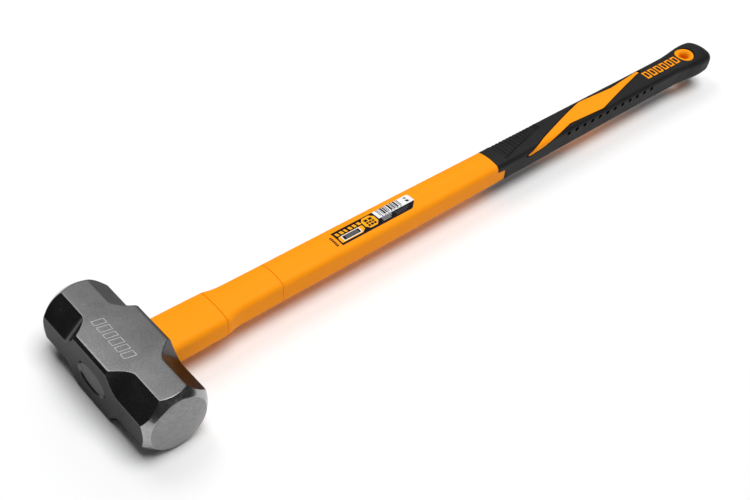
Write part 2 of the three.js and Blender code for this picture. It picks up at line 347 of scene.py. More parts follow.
def chamfer_steel():
    """Brighter steel where the grinding wheel broke the edge round each face."""
    s = Surface("chamfer_steel", (0.5, 0.5, 0.5), 0.22, 1.0)
    marks = s.noise(300, 4, 0.6, (0.4, 1, 1))
    s.tint(marks, (0.3, 0.3, 0.302), (0.42, 0.42, 0.422))
    s.roughen(marks, 0.17, 0.27)
    s.bump(marks, 0.00004, 0.4)
    return s.material


def orange_plastic():
    """Satin moulded plastic with the faint flow marks of a long moulding."""
    s = Surface("orange_plastic", (1.0, 0.33, 0.004), 0.45)
    flow = s.noise(14, 3, 0.5, (1, 0.12, 1))
    s.tint(flow, (0.97, 0.295, 0.003), (1.0, 0.33, 0.005), 0.35, 0.65)
    s.roughen(s.noise(180, 4), 0.48, 0.58)
    s.bump(s.noise(1500, 2), 0.00002, 0.35)
    s.set("Specular IOR Level", 0.08)
    return s.material


def black_rubber():
    """Soft matte rubber with a fine spark-eroded grain."""
    s = Surface("black_rubber", (0.017, 0.017, 0.018), 0.55)
    grain = s.noise(1400, 3, 0.6)
    patch = s.noise(40, 3, 0.5)
    s.tint(patch, (0.006, 0.006, 0.0065), (0.0105, 0.0105, 0.011))
    s.roughen(patch, 0.5, 0.6)
    s.set("Specular IOR Level", 0.2)
    s.bump(grain, 0.00008, 0.6)
    return s.material


def shaded_rubber():
    """The same rubber inside pits and grooves, made near-black as painted shade, with a faint
    random speckle.
    """
    s = Surface("shaded_rubber", (0.0015, 0.0015, 0.002), 0.8)
    shade_speckle = s.noise(300, 3)
    s.tint(shade_speckle, (0.001, 0.001, 0.0015), (0.002, 0.002, 0.003))
    s.set("Specular IOR Level", 0.05)
    return s.material


def cast_epoxy():
    s = Surface("cast_epoxy", (0.42, 0.36, 0.2), 0.3)
    cloud = s.noise(120, 4)
    s.tint(cloud, (0.36, 0.3, 0.16), (0.5, 0.44, 0.28))
    return s.material


def fibreglass():
    """Pultruded rod: straw resin with glass rovings drawn along it."""
    s = Surface("fibreglass", (0.7, 0.6, 0.34), 0.4)
    strands = s.noise(900, 4, 0.6, (1, 0.02, 1))
    s.tint(strands, (0.6, 0.5, 0.26), (0.82, 0.76, 0.55))
    s.bump(strands, 0.0001, 0.5)
    return s.material


def plug_material():
    s = Surface("eye_plug_grey", (0.1, 0.102, 0.105), 0.42, 0.7)
    broad = s.noise(50, 4)
    s.tint(broad, (0.04, 0.041, 0.042), (0.065, 0.066, 0.068))
    s.roughen(broad, 0.36, 0.48)
    s.bump(s.noise(700, 3), 0.00005, 0.5)
    return s.material


def print_ink(name, color):
    """Printed film: an even colour with a slight orange-peel gloss."""
    s = Surface(name, color, 0.55)
    peel = s.noise(700, 2)
    s.set("Specular IOR Level", 0.1)
    dark = tuple(channel * 0.92 for channel in color)
    s.tint(peel, dark, color, 0.35, 0.65)
    s.bump(peel, 0.00001, 0.3)
    return s.material


# ---- meshes -------------------------------------------------------------
def add_piece(name, points, faces, materials, node=None, slot=None, sharp=35, picks=None):
    """A shaded object from points in mm about the eye. picks gives each face's material."""
    mesh = bpy.data.meshes.new(name)
    placed = np.asarray(points, float) * MM + np.array(EYE)
    mesh.from_pydata(placed.tolist(), [], [list(map(int, face)) for face in faces])
    for material in materials:
        mesh.materials.append(material)
    if picks is not None:
        mesh.polygons.foreach_set("material_index", np.asarray(picks, dtype=np.int32))
    mesh.polygons.foreach_set("use_smooth", np.ones(len(mesh.polygons), dtype=bool))
    mesh.set_sharp_from_angle(angle=math.radians(sharp))
    mesh.update()
    piece = bpy.data.objects.new(name, mesh)
    bpy.context.collection.objects.link(piece)
    if slot:
        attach(piece, "root")
    if node:
        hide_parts(node)
    return piece


def grid_faces(rows, columns, wrap_rows=False, start=0):
    """Quads of a grid that wraps across its columns, and along its rows if asked."""
    last = rows if wrap_rows else rows - 1
    r, c = np.meshgrid(np.arange(last), np.arange(columns), indexing="ij")
    r, c = r.ravel(), c.ravel()
    right, above = (c + 1) % columns, (r + 1) % rows
    quads = (r * columns + c, r * columns + right, above * columns + right, above * columns + c)
    return np.stack(quads, axis=1) + start


def signed_volume(points, faces):
    total = 0.0
    for face in faces:
        ring = points[np.asarray(face)]
        fan = np.cross(ring[1:-1], ring[2:]).sum(axis=0)
        total += float(ring[0] @ fan)
    return total


def skin(rings, tube=False):
    """Points and faces of a closed surface through rings of equal size, which either
    joins its last ring to its first or closes both ends on a middle point."""
    rows, columns, _ = rings.shape
    points = rings.reshape(-1, 3)
    faces = grid_faces(rows, columns, wrap_rows=tube)
    if not tube:
        first, last = rings[0].mean(axis=0), rings[-1].mean(axis=0)
        points = np.vstack([points, first, last])
        c = np.arange(columns)
        right = (c + 1) % columns
        low = np.full(columns, rows * columns)
        top = (rows - 1) * columns
        faces = faces.tolist()
        faces += np.stack([low, right, c], axis=1).tolist()
        faces += np.stack([low + 1, top + c, top + right], axis=1).tolist()
    else:
        faces = faces.tolist()
    sample = rings.mean(axis=(0, 1))
    if signed_volume(points - sample, faces[:: max(1, len(faces) // 4000)]) < 0:
        faces = [face[::-1] for face in faces]
    return points, faces


def cut(piece, cutters):
    """Takes the cutters out of a piece, keeps the result and deletes the cutters."""
    bpy.context.view_layer.objects.active = piece
    for cutter in cutters:
        modifier = piece.modifiers.new("cut", "BOOLEAN")
        modifier.operation = "DIFFERENCE"
        modifier.solver = "MANIFOLD"
        modifier.object = cutter
    graph = bpy.context.evaluated_depsgraph_get()
    result = bpy.data.meshes.new_from_object(piece.evaluated_get(graph))
    piece.modifiers.clear()
    piece.data = result
    for cutter in cutters:
        bpy.data.objects.remove(cutter)
    result.set_sharp_from_angle(angle=math.radians(32))


# ---- head ---------------------------------------------------------------
def flat_half(x):
    """Half-length of each flat: a square in the middle, an octagon towards the ends."""
    reach = (np.abs(x) - MID_HALF_LENGTH) / (RAMP_END_X - MID_HALF_LENGTH)
    t = np.clip(reach, 0, 1)
    middle = HEAD_HALF - MID_CHAMFER
    return OCTAGON_FLAT + (middle - OCTAGON_FLAT) * (1 - t) ** RAMP_POWER


def soft_max(values, softness):
    top = np.max(values, axis=0)
    return top + softness * np.log(sum(np.exp((v - top) / softness) for v in values))


CONE_RISE = HEAD_HALF / math.cos(math.pi / 8) - FACE_RIM_R
CONE_RUN = FACE_RIM_X - HEAD_CORNER_X
CONE_TILT = math.atan2(CONE_RISE, CONE_RUN)


def crown(r):
    return FACE_X - (FACE_X - FACE_RIM_X) * (r / FACE_RIM_R) ** CROWN_POWER


def head_field(points):
    """Distance outside the head's surface, with every edge slightly rounded."""
    x, y, z = np.abs(points).T
    r = np.hypot(y, z)
    corner = (y + z - HEAD_HALF - flat_half(x)) / math.sqrt(2)
    bar = soft_max([y - HEAD_HALF, z - HEAD_HALF, corner], BAR_SOFTNESS)
    cone = (r - FACE_RIM_R) * math.cos(CONE_TILT) + (x - FACE_RIM_X) * math.sin(CONE_TILT)
    face = soft_max([cone, x - crown(r)], FACE_SOFTNESS)
    return soft_max([bar, face], RIM_SOFTNESS)


def settle(points):
    """Moves points along lines from the striking axis onto the rounded surface."""
    origin = np.zeros_like(points)
    origin[:, 0] = np.clip(points[:, 0], -SHOULDER_X, SHOULDER_X)
    reach = points - origin
    low, high = np.full(len(points), SEARCH_LOW), np.full(len(points), SEARCH_HIGH)
    for _ in range(HALVINGS):
        middle = (low + high) / 2
        outside = head_field(origin + reach * middle[:, None]) > 0
        high = np.where(outside, middle, high)
        low = np.where(outside, low, middle)
    return origin + reach * ((low + high) / 2)[:, None]


def packed(count, tightness=2.2):
    """Steps from 0 to 1 (the last one left out) that crowd towards both ends."""
    t = np.linspace(-1, 1, count + 1)[:-1]
    return (np.tanh(t * tightness) / math.tanh(tightness) + 1) / 2


def head_angles(x):
    """Angles round the head at each x, with columns along every corner line."""
    step = packed(18)
    turn = np.arctan2(flat_half(x), HEAD_HALF)[:, None]
    sectors = []
    for quarter in range(4):
        base = quarter * math.pi / 2
        sectors.append(base - turn + step * 2 * turn)
        sectors.append(base + turn + step * (math.pi / 2 - 2 * turn))
    return np.hstack(sectors)


def bar_radius(x, angle):
    """How far the sharp-edged bar reaches from the axis in a direction."""
    flat = flat_half(x)
    c, s = np.abs(np.cos(angle)), np.abs(np.sin(angle))
    return np.minimum(HEAD_HALF / np.maximum(c, s), (HEAD_HALF + flat) / (c + s))


def head_rings():
    """Rings from one face to the other, and the finish past each: forged, chamfer or
    ground."""
    ramp_end = RAMP_END_X + 2
    ramp = MID_HALF_LENGTH + (ramp_end - MID_HALF_LENGTH) * np.linspace(0, 1, 34) ** 1.25
    middle = np.linspace(0, MID_HALF_LENGTH, 18)[:-1]
    outer = np.linspace(ramp_end, SHOULDER_X, 10)[1:]
    body = np.concatenate([middle, ramp, outer])
    angle = head_angles(body)
    radius = bar_radius(body[:, None], angle)
    rings = [[np.full(angle.shape[1], x), a, r] for x, a, r in zip(body, angle, radius)]

    a = angle[-1]
    r = bar_radius(SHOULDER_X, a)
    arc_x = FACE_RIM_X - (r - FACE_RIM_R) / math.tan(CONE_TILT)
    rim = np.append(packed(14), 1)
    bright_from = len(rings) + len(rim) - 1
    for t in rim[1:]:
        rings.append([SHOULDER_X + (arc_x - SHOULDER_X) * t, a, r])
    for t in rim[1:]:
        rings.append([arc_x + (FACE_RIM_X - arc_x) * t, a, r + (FACE_RIM_R - r) * t])
    crown_from = len(rings) - 1
    for t in np.linspace(0, 1, 41)[1:-1] ** 1.4:
        radius = FACE_RIM_R * (1 - t)
        rings.append([np.full(a.shape, crown(radius)), a, np.full(a.shape, radius)])
    half = np.array([np.stack([x, r * np.sin(a), r * np.cos(a)], axis=1) for x, a, r in rings])
    other = half[:0:-1].copy()
    other[:, :, 0] *= -1
    place = np.arange(1 - len(half), len(half))
    place = np.where(place < 0, -place - 1, place)
    finish = (place >= bright_from).astype(int) + (place >= crown_from)
    return np.concatenate([other, half]), finish


def oval_rings(stations, count=96):
    """Rings of ovals across Y from (y, half along X, half along Z)."""
    angle = np.linspace(0, 2 * math.pi, count, endpoint=False)
    rings = [
        np.stack([a * np.cos(angle), np.full(count, y), b * np.sin(angle)], axis=1)
        for y, a, b in stations
    ]
    return np.array(rings)


def build_head():
    rings, finish = head_rings()
    rows, columns, _ = rings.shape
    rings = settle(rings.reshape(-1, 3)).reshape(rings.shape)
    points, faces = skin(rings)
    picks = np.zeros(len(faces), dtype=int)
    picks[: (rows - 1) * columns] = np.repeat(finish[:-1], columns)
    picks[(rows - 1) * columns :] = 2
    materials = [FINISH["forged"], FINISH["chamfer"], FINISH["ground"]]
    head = add_piece(
        "head", points, faces, materials, "hammer_head", "head_steel", 28, picks
    )
    past = 2
    wide = (EYE_LONG + EYE_BEVEL + past, EYE_SHORT + EYE_BEVEL + past)
    stations = [
        (-HEAD_HALF - past, *wide),
        (-HEAD_HALF + EYE_BEVEL, EYE_LONG, EYE_SHORT),
        (HEAD_HALF - EYE_BEVEL, EYE_LONG, EYE_SHORT),
        (HEAD_HALF + past, *wide),
    ]
    cutter = add_piece("eye_cutter", *skin(oval_rings(stations)), [FINISH["forged"]])
    cut(head, [cutter])


def build_plug():
    """The oval plug in the eye, crowned, with a rounded edge."""
    long, short = EYE_LONG - PLUG_CLEARANCE, EYE_SHORT - PLUG_CLEARANCE
    stations = []
    for t in np.linspace(0.04, 1, 14):
        drop = PLUG_CROWN * t**2
        stations.append((PLUG_Y0 + drop, (long - PLUG_EDGE) * t, (short - PLUG_EDGE) * t))
    for turn in np.linspace(0, math.pi / 2, 6)[1:]:
        inset = PLUG_EDGE * (1 - math.sin(turn))
        fall = PLUG_CROWN + PLUG_EDGE * (1 - math.cos(turn))
        stations.append((PLUG_Y0 + fall, long - inset, short - inset))
    stations.append((PLUG_Y1, long, short))
    points, faces = skin(oval_rings(stations))
    add_piece("eye_plug_cap", points, faces, [FINISH["plug"]], "eye_plug", "eye_plug", 50)


# ---- handle sections ----------------------------------------------------
STATIONS = np.array(SECTIONS, float)


def smooth_curve(at, knots, values):
    """A cubic through the values that never overshoots them."""
    step = np.diff(knots)
    slope = np.diff(values) / step
    tangent = np.zeros(len(values))
    both = slope[:-1] * slope[1:] > 0
    weights = np.where(both, 2 * slope[:-1] * slope[1:], 0)
    total = slope[:-1] + slope[1:]
    tangent[1:-1] = np.divide(weights, total, where=both, out=np.zeros(len(both)))
    tangent[0], tangent[-1] = slope[0], slope[-1]
    k = np.clip(np.searchsorted(knots, at) - 1, 0, len(step) - 1)
    h = step[k]
    t = np.clip((at - knots[k]) / h, 0, 1)
    return (
        values[k] * (1 + 2 * t) * (1 - t) ** 2
        + tangent[k] * h * t * (1 - t) ** 2
        + values[k + 1] * t**2 * (3 - 2 * t)
        + tangent[k + 1] * h * t**2 * (t - 1)
    )


def section(y):
    """Half-width, half-thickness, corner radius and crown radius of the handle at y."""
    y = np.asarray(y, float)
    return [smooth_curve(y, STATIONS[:, 0], STATIONS[:, i]) for i in (1, 2, 3, 4)]


def lengths(size):
    """Where a section's corner circles sit, the crown's half angle, and the lengths of
    a quarter's crown and corner."""
    w, h, r, crown_r = size
    across = w - r
    up = h - crown_r + np.sqrt((crown_r - r) ** 2 - across**2)
    angle = np.arcsin(across / (crown_r - r))
    return across, up, angle, crown_r * angle, r * (math.pi / 2 - angle)


def around(u, y, size, lift=0.0):
    """Points on a section: flat narrow sides, crowned broad sides, round corners. u is
    the arc distance from the top's middle line, positive towards +X, and lift raises
    the point off the surface."""
    _, h, r, crown_r = size
    across, up, _, top, bend = lengths(size)
    s = np.abs(u)
    edge = top + bend + 2 * up
    angle = np.clip(s, 0, top) / crown_r + np.clip(s - top, 0, bend) / r
    angle = angle + np.clip(s - edge, 0, bend) / r + np.clip(s - edge - bend, 0, top) / crown_r
    on_crown = (s < top) | (s > edge + bend)
    middle_z = np.clip(top + bend + up - s, -up, up)
    crown_z = np.where(s < top, h - crown_r, crown_r - h)
    bow = np.where(on_crown, crown_r, r) + lift
    x = np.where(on_crown, 0, across) + bow * np.sin(angle)
    z = np.where(on_crown, crown_z, middle_z) + bow * np.cos(angle)
    return np.stack([np.sign(u) * x, np.broadcast_to(y, x.shape) + 0.0, z], axis=-1)


def on_handle(u, y, lift=0.0):
    u, y = np.broadcast_arrays(np.asarray(u, float), np.asarray(y, float))
    return around(u, y, section(y), lift)


CROWN_COLUMNS, BEND_COLUMNS, SIDE_COLUMNS = 24, 12, 20


def columns_of(size):
    """Arc distances of the mesh's columns on one section, all the way round."""
    size = [np.asarray(v, float)[..., None] for v in size]
    _, up, _, top, bend = lengths(size)
    counts = (CROWN_COLUMNS, BEND_COLUMNS, SIDE_COLUMNS, BEND_COLUMNS, CROWN_COLUMNS)
    start, parts = 0.0 * top, []
    for count, length in zip(counts, (top, bend, 2 * up, bend, top)):
        parts.append(start + length * np.arange(count) / count)
        start = start + length
    half = np.concatenate(parts, axis=-1)
    return np.concatenate([half, start, -half[..., :0:-1]], axis=-1)


def core_ring(y):
    size = [np.array(v) for v in CORE]
    return around(columns_of(size), y, size)


def handle_rings(y, lift=0.0):
    """Rings of the handle's surface at each y; lift is one number, one for each ring,
    or a function of arc distance and y."""
    y = np.atleast_1d(np.asarray(y, float))
    u = columns_of(section(y))
    rows = np.broadcast_to(y[:, None], u.shape)
    if callable(lift):
        lift = lift(u, rows)
    elif np.ndim(lift):
        lift = np.asarray(lift)[:, None]
    return on_handle(u, rows, lift)


def bevelled(y0, y1, rows, bevel=SEAM_BEVEL):
    """Places and lifts along a sleeve whose two outer edges are rounded."""
    turn = np.linspace(0, math.pi / 2, 5)
    start = y0 + bevel * (1 - np.cos(turn))
    drop = bevel * (np.sin(turn) - 1)
    y = np.concatenate([start, rows, (y1 + y0 - start)[::-1]])
    lift = np.concatenate([drop, np.zeros(len(rows)), drop[::-1]])
    return y, lift


def build_sleeve(name, node, y0, y1, rows):
    y, lift = bevelled(y0, y1, rows)
    rings = [handle_rings(y, lift), np.array([core_ring(y1), core_ring(y0)])]
    points, faces = skin(np.concatenate(rings), tube=True)
    add_piece(name, points, faces, [FINISH["orange"]], node, "orange_plastic", 40)


# ---- the grip's front edge and the pattern on it ------------------------
def smooth_step(t):
    t = np.clip(t, 0, 1)
    return t * t * (3 - 2 * t)


def height_on_side(u, y):
    """z of a point, measured so that the two narrow sides match when turned over."""
    z = on_handle(u, y)[..., 2]
    return np.where(u < 0, -z, z)


def grip_front(u):
    """Where the grip starts: square across the broad sides, set back round the
    jacket's tongue on each narrow side."""
    base = GRIP_Y0 + FRONT_GAP
    z = height_on_side(u, np.full(np.shape(u), base))
    above = smooth_step((TONGUE_HIGH - z) / TONGUE_SOFTNESS + 0.5)
    below = smooth_step((z - TONGUE_LOW) / TONGUE_SOFTNESS + 0.5)
    return base + TONGUE_LENGTH * above * below


def warp_rows(u, y):
    """Rows near the grip's front bend to follow its edge."""
    shift = grip_front(u) - GRIP_Y0
    return y + shift * (1 - smooth_step((y - GRIP_Y0) / WARP_LENGTH))


def half_turn(u, y):
    """The same point on the other broad side, when the handle is turned over."""
    _, up, _, top, bend = lengths(section(y))
    half = 2 * (top + bend + up)
    return np.where(u > 0, u - half, u + half)


def panel_depth(u, y, limit):
    """Ribbed panel at the front of one broad side: ribs across the handle that end
    on a slanting groove, and at the other end run onto the corner as far as limit."""
    slant = PANEL_EDGE_U - (y - PANEL_Y0) * PANEL_SLANT
    ends = np.minimum(y - PANEL_Y0, PANEL_Y1 - y)
    inside = np.minimum(ends, np.minimum(slant - u, u + limit))
    mask = smooth_step(inside / 0.8 - 1.1)
    wave = 0.5 - 0.5 * np.cos(2 * math.pi * (y - PANEL_Y0 - 1.5) / RIB_PITCH)
    valley = RIB_DEPTH * smooth_step((wave - 0.12) / 0.5) * mask
    groove = 0.9 * np.exp(-((inside - 0.1) ** 2) / 0.35)
    rim = 0.3 * np.exp(-((inside + 1.3) ** 2) / 0.5)
    return valley + groove - rim


def grip_lift(u, y):
    return GRIP_PROUD - panel_depth(u, y, 19.5) - panel_depth(half_turn(u, y), y, 16.5)


def build_grip():
    fine = np.arange(GRIP_Y0 + 3, 561, 0.5)
    coarse = np.arange(562, END_Y - 12, 1.2)
    end = END_Y - 12 * np.cos(np.linspace(0, math.pi / 2, 22))
    rows = np.concatenate([fine, coarse, end])
    u = columns_of(section(rows))
    y = warp_rows(u, np.broadcast_to(rows[:, None], u.shape))
    outer = on_handle(u, y, grip_lift(u, y))

    turn = np.linspace(0, math.pi / 2, 5)
    lip_u = columns_of(section(np.full(len(turn), GRIP_Y0)))
    lip_y = grip_front(lip_u) + (GRIP_LIP * (1 - np.cos(turn)))[:, None]
    lip = on_handle(lip_u, lip_y, (GRIP_PROUD - GRIP_LIP * (1 - np.sin(turn)))[:, None])
    wall = on_handle(lip_u[:1], grip_front(lip_u[:1]), BORE_LIFT)
    inner = handle_rings([JACKET_Y1 + 0.4, 700, 560, STEP_END_Y], BORE_LIFT)
    rings = np.concatenate([inner, wall, lip, outer])
    points, faces = skin(rings)
    grip = add_piece("rubber_grip", points, faces, [FINISH["rubber"]], "grip", "black_rubber")
    cutters = [inlay_solid(flip, 1.25, -0.7, 1.5, "inlay_cutter") for flip in (False, True)]
    cutters += dimple_cutters()
    cutters.append(hang_hole_cutter())
    cut(grip, cutters)
    # pits and grooves get painted shade
    paint_shade_in_recesses(grip)


def depth_inside(points):
    """How far points lie under the handle's surface."""
    x, y, z = np.abs(points).T
    w, h, r, crown_r = section(y)
    across, up, *_ = lengths((w, h, r, crown_r))
    corner = r - np.hypot(x - across, z - up)
    crown_depth = crown_r - np.hypot(x, z - (h - crown_r))
    return np.where((x > across) & (z > up), corner, np.minimum(crown_depth, w - x))


def paint_shade_in_recesses(grip):
    """Gives pits and grooves, but not the ribbed panels, the near-black material that paints
    their shade.
    """
    mesh = grip.data
    middles = np.zeros(len(mesh.polygons) * 3)
    mesh.polygons.foreach_get("center", middles)
    middles = (middles.reshape(-1, 3) - np.array(EYE)) / MM
    x = np.where(middles[:, 2] < 0, -middles[:, 0], middles[:, 0])
    y = middles[:, 1]
    ribbed = (y < 560) & (x < 13.5 - (y - 484) * 0.226)
    deep = (depth_inside(middles) > 0.25) & ~ribbed & (y < END_Y - 14)
    mesh.materials.clear()
    for finish in ("rubber", "pit"):
        mesh.materials.append(FINISH[finish])
    mesh.polygons.foreach_set("material_index", deep.astype(np.int32))


def chain_at(chain, y):
    return np.interp(y, [p[1] for p in chain], [p[0] for p in chain])


def patch(rows, left, right, low, high, flip=False, across=14):
    """A thin solid on the handle between two chains: left and right give its edges at
    each row, low and high its underside and top, and the top's edges are rounded."""
    t = np.linspace(0, 1, across + 1)[None, :]
    edge = 0.18
    left, right = left[:, None], right[:, None]
    top_left, top_right = left + edge, right - edge
    u_top = top_left + (top_right - top_left) * t
    shoulder = high - edge
    parts = [(left, low), (left, shoulder), (u_top, high), (right, shoulder), (right, low)]
    columns = []
    for u, lift in parts:
        y = np.broadcast_to(rows[:, None], u.shape)
        if flip:
            u = half_turn(u, y)
        columns.append(on_handle(u, y, lift))
    return skin(np.concatenate(columns, axis=1))


def inlay_solid(flip, grow, low, high, name):
    """The flame-shaped land, on one broad side or, turned over, on the other."""
    corners = sorted({p[1] for p in INLAY_LEFT + INLAY_RIGHT})
    y0, y1 = corners[0] - grow * 3, corners[-1] + grow * 3
    rows = np.unique(np.concatenate([np.arange(y0, y1, 2.0), corners, [y1]]))
    rows = rows[(rows >= y0) & (rows <= y1)]
    inside = np.clip(rows, corners[0], corners[-1])
    left = chain_at(INLAY_LEFT, inside) - grow - 0.2
    right = chain_at(INLAY_RIGHT, inside) + grow + 0.2
    points, faces = patch(rows, left, right, low, high, flip)
    return add_piece(name, points, faces, [FINISH["orange"]])


def dimple_cutters():
    """Small oval pits along both narrow sides, with rounded floors."""
    cutters = []
    turn = np.linspace(0, 2 * math.pi, 28, endpoint=False)
    deep = DIMPLE_DEPTH
    profile = [(0.9, 1.25), (0.3, 1.14), (0.0, 1.04), (-0.25, 1.0), (0.6 - deep, 0.96)]
    profile += [(0.25 - deep, 0.84), (0.05 - deep, 0.62), (-deep, 0.3)]
    for side in (1, -1):
        for k in range(DIMPLE_COUNT):
            y = DIMPLE_Y0 + DIMPLE_PITCH * k
            middle = on_handle(DIMPLE_U, y, 0.0)
            out = on_handle(DIMPLE_U, y, 1.0) - middle
            along = np.array([0, 1.0, 0])
            across = np.cross(out, along)
            rings = [
                middle
                + out * lift
                + np.outer(np.cos(turn) * grow, along) * DIMPLE_LONG
                + np.outer(np.sin(turn) * grow, across) * DIMPLE_SHORT
                for lift, grow in profile
            ]
            rings = np.array(rings) * np.array([side, 1, side])
            points, faces = skin(rings)
            cutters.append(add_piece("dimple_cutter", points, faces, [FINISH["rubber"]]))
    return cutters


def round_rings(profile, count=72):
    """Rings about the hang hole's axis from (radius, height) pairs."""
    angle = np.linspace(0, 2 * math.pi, count, endpoint=False)
    rings = [
        np.stack([r * np.cos(angle), HANG_Y + r * np.sin(angle), np.full(count, z)], axis=1)
        for r, z in profile
    ]
    return np.array(rings)


def hang_hole_cutter():
    r = BUSH_R + 0.12
    profile = [(r + 3.2, -18), (r, -13.4), (r, 13.4), (r + 3.2, 18)]
    return add_piece("hang_cutter", *skin(round_rings(profile)), [FINISH["rubber"]])


# ---- jacket, inlays, bush -----------------------------------------------
def pocket_depth(u):
    """The label's recess is flatter than the crown, so it is deepest in the middle."""
    return POCKET_DEPTH + POCKET_FLATTEN * (1 - (u / POCKET_HALF) ** 2)


def pocket_lift(u, y):
    """Shallow stadium-shaped recess for the label, on top only."""
    middle = np.clip(y, POCKET_Y0 + POCKET_HALF, POCKET_Y1 - POCKET_HALF)
    inside = POCKET_HALF - np.hypot(u, y - middle)
    return -pocket_depth(np.clip(np.abs(u), 0, POCKET_HALF)) * smooth_step(inside / 0.9 + 0.5)


def build_jacket():
    turn = np.linspace(0, math.pi / 2, 5)
    start = JACKET_Y0 + SEAM_BEVEL * (1 - np.cos(turn))
    edge = handle_rings(start, SEAM_BEVEL * (np.sin(turn) - 1))
    rows = np.concatenate(
        [
            np.arange(JACKET_Y0 + 1.2, POCKET_Y0 - 2, 2.5),
            np.arange(POCKET_Y0 - 2, POCKET_Y0 + 15, 0.6),
            np.arange(POCKET_Y0 + 15, POCKET_Y1 - 15, 2.0),
            np.arange(POCKET_Y1 - 15, POCKET_Y1 + 2, 0.6),
            np.arange(POCKET_Y1 + 2, GRIP_Y0 - 24, 2.5),
        ]
    )
    body = handle_rings(rows, pocket_lift)
    close = np.linspace(GRIP_Y0 - 24, GRIP_Y0, 14)
    u = columns_of(section(close))
    front = grip_front(u) - SEAM_CLEARANCE
    share = smooth_step((close - close[0]) / (close[-1] - close[0]))[:, None]
    near = on_handle(u, close[:, None] + (front - GRIP_Y0) * share, 0.0)
    step_u = columns_of(section(np.full(1, GRIP_Y0)))
    step = on_handle(step_u, grip_front(step_u) - SEAM_CLEARANCE, -GRIP_WALL)
    inner = handle_rings([STEP_END_Y, 560, 700, JACKET_Y1], -GRIP_WALL)
    bore = np.array([core_ring(CORE_Y1 + 0.3), core_ring(JACKET_Y0)])
    rings = np.concatenate([bore, edge, body, near, step, inner])
    points, faces = skin(rings)
    add_piece(
        "shaft_jacket", points, faces, [FINISH["orange"]], "handle_jacket", "orange_plastic", 40
    )


def build_inlays():
    for flip, side in ((False, "top"), (True, "under")):
        piece = inlay_solid(flip, 0.0, -0.65, 0.15, f"flame_inlay_{side}")
        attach(piece, "root")


def build_mark():
    """Generic mark beside the hang hole: a row of outline blocks of orange plastic, each on a
    slightly wider near-black band that paints the shade of the gap round it."""
    for name, grow, low, high, finish, slot in (
        ("grip_mark", 0.0, -0.4, 0.32, "orange", "orange_plastic"),
        # near-black band slightly wider than each block: painted shade of the gap round it
        ("grip_mark_shade_band", 0.55, -0.4, 0.17, "pit", "black_rubber"),
    ):
        points, faces = [], []
        for k in range(MARK_COUNT):
            y = MARK_Y0 + MARK_PITCH * k
            block_points, block_faces = outline_block(y, grow, low, high)
            faces += [[i + len(points) for i in face] for face in block_faces]
            points += block_points
        add_piece(name, points, faces, [FINISH[finish]], slot=slot, sharp=30)


def outline_block(y, grow, low, high):
    """One raised rectangular outline that follows the crowned surface."""
    u0, u1, y0, y1 = MARK_U[0], MARK_U[1], y, y + MARK_WIDTH
    stroke = MARK_STROKE
    across = np.linspace(u0 + stroke, u1 - stroke, 7)
    outer_u = np.concatenate([[u0 - grow], across, [u1 + grow]])
    inner_u = np.concatenate([[u0 + stroke + grow], across, [u1 - stroke - grow]])
    inner_u[1:-1] = np.clip(inner_u[1:-1], inner_u[0], inner_u[-1])
    inner_y0, inner_y1 = y0 + stroke + grow, y1 - stroke - grow
    outer = [(u, y0 - grow) for u in outer_u] + [(u, y1 + grow) for u in outer_u[::-1]]
    inner = [(u, inner_y0) for u in inner_u] + [(u, inner_y1) for u in inner_u[::-1]]
    loops = [
        (outer, low), (outer, high - 0.08), (grown(outer, -0.1), high),
        (grown(inner, 0.1), high), (inner, high - 0.08), (inner, low),
    ]
    rings = np.array([[on_handle(u, v, lift) for u, v in loop] for loop, lift in loops])
    points, faces = skin(rings, tube=True)
    return points.tolist(), faces


def grown(loop, step):
    """The loop moved outwards by step on every side, or inwards if step is negative."""
    middle = np.mean(loop, axis=0)
    return [tuple(np.array(p) + step * np.sign(np.array(p) - middle)) for p in loop]


def surface_height(x, y):
    """Height of the handle's top surface over a point in plan."""
    size = section(y)
    _, h, r, crown_r = size
    across, up, start, _, _ = lengths(size)
    x = np.abs(x)
    crown_z = h - crown_r + np.sqrt(crown_r**2 - np.minimum(x, crown_r * np.sin(start)) ** 2)
    corner_z = up + np.sqrt(np.maximum(r * r - np.clip(x - across, 0, r) ** 2, 0))
    return np.where(x < crown_r * np.sin(start), crown_z, corner_z)


def build_bush():
    """Dished bush of the hang hole; its rims follow the grip's surface."""
    r = BUSH_R
    profile = [
        (5.6, 0.0, 0),
        (5.6, 5.0, 0),
        (5.6, 8.4, 0),
        (5.85, 10.6, 0),
        (6.4, 12.2, 0.2),
        (7.2, 13.4, 0.5),
        (8.2, 14.35, 0.8),
        (9.2, 14.95, 1),
        (10.2, 15.3, 1),
        (11.1, 15.5, 1),
        (11.8, 15.45, 1),
        (r - 0.05, 15.25, 1),
        (r, 14.9, 1),
        (r, 11.0, 0.3),
        (r, 6.0, 0),
    ]
    angle = np.linspace(0, 2 * math.pi, 96, endpoint=False)

    def ring(radius, height, follow, sign):
        x, y = radius * np.cos(angle), HANG_Y + radius * np.sin(angle)
        offset = surface_height(x, y) - section(HANG_Y)[1]
        return np.stack([x, y, sign * (height + follow * offset)], axis=1)

    upper = [ring(*row, 1) for row in profile]
    lower = [ring(*row, -1) for row in profile[:0:-1]]
    points, faces = skin(np.array(upper + lower), tube=True)
    add_piece(
        "hang_bush", points, faces, [FINISH["orange"]], "hang_hole_bush", "orange_plastic", 45
    )


